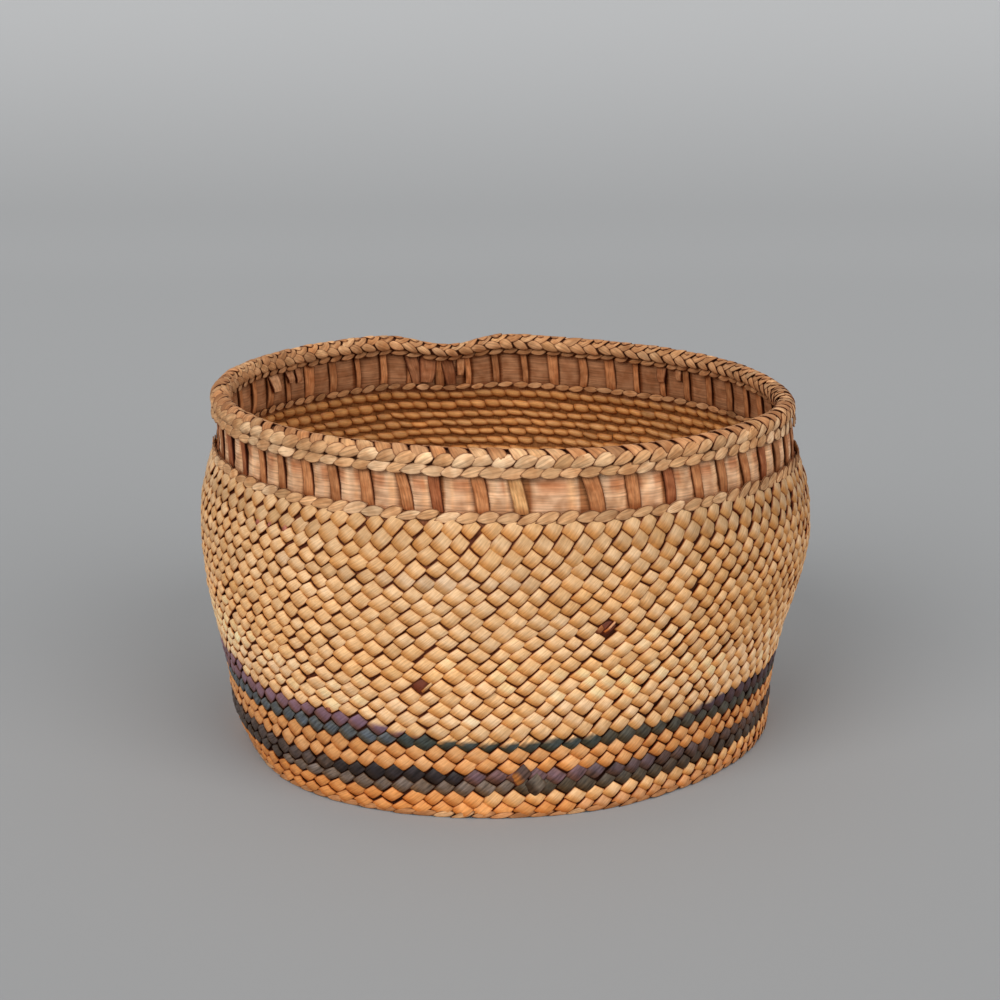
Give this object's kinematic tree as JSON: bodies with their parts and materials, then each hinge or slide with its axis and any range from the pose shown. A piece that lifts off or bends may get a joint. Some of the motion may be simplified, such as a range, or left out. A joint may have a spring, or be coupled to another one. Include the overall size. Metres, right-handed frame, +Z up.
{
  "type": "twined basket",
  "caption": "Small open round basket twined from bark warps and wrapped grass, with dyed stripes, a bark collar and a braided rim.",
  "frame": {"origin": "centre of the bounding box at the base, on the surface the basket stands on", "axes": "+Z up out of the open mouth; the side shown in the picture looks along -Y; the dented back of the rim is towards +Y"},
  "size_m": [0.1194, 0.1206, 0.0687],
  "materials": {
    "cedar_bark": "matt reddish-brown inner bark with long fibres",
    "inner_weft": "matt golden-brown twined weft, darker between the stitches",
    "orange_grass": "satin orange-gold grass stitches",
    "gold_grass": "satin pale gold grass stitches with a fine lengthwise grain",
    "green_grass": "satin grass dyed greenish black",
    "purple_grass": "satin grass dyed faded purple",
    "black_grass": "satin grass dyed black, grey-brown where it has faded",
    "collar_twining": "matt tan bark twining",
    "rim_braid": "matt tan bark braid"
  },
  "bodies": {
    "root": {"base_strip_lengthwise_1": "cedar_bark", "base_strip_lengthwise_2": "cedar_bark", "base_strip_lengthwise_3": "cedar_bark", "base_strip_lengthwise_4": "cedar_bark", "base_strip_lengthwise_5": "cedar_bark", "base_strip_lengthwise_6": "cedar_bark", "base_strip_crosswise_1": "cedar_bark", "base_strip_crosswise_2": "cedar_bark", "base_strip_crosswise_3": "cedar_bark", "base_strip_crosswise_4": "cedar_bark", "base_strip_crosswise_5": "cedar_bark", "base_strip_crosswise_6": "cedar_bark", "base_twining_under": "cedar_bark", "base_twining_inside": "cedar_bark", "foot_course": "cedar_bark", "warps": "cedar_bark", "inner_weft": "inner_weft", "lower_gold_courses": "orange_grass", "lower_dark_courses": "black_grass", "middle_gold_courses": "orange_grass", "green_course": "green_grass", "purple_course": "purple_grass", "main_gold_courses": "gold_grass", "shoulder_courses": "gold_grass", "collar_lower_twining_outside": "collar_twining", "collar_lower_twining_inside": "collar_twining", "collar_band": "cedar_bark", "collar_upper_twining_outside": "collar_twining", "collar_upper_twining_inside": "collar_twining", "rim_braid_strand_1": "rim_braid", "rim_braid_strand_2": "rim_braid", "rim_braid_strand_3": "rim_braid"}
  },
  "joints": []
}
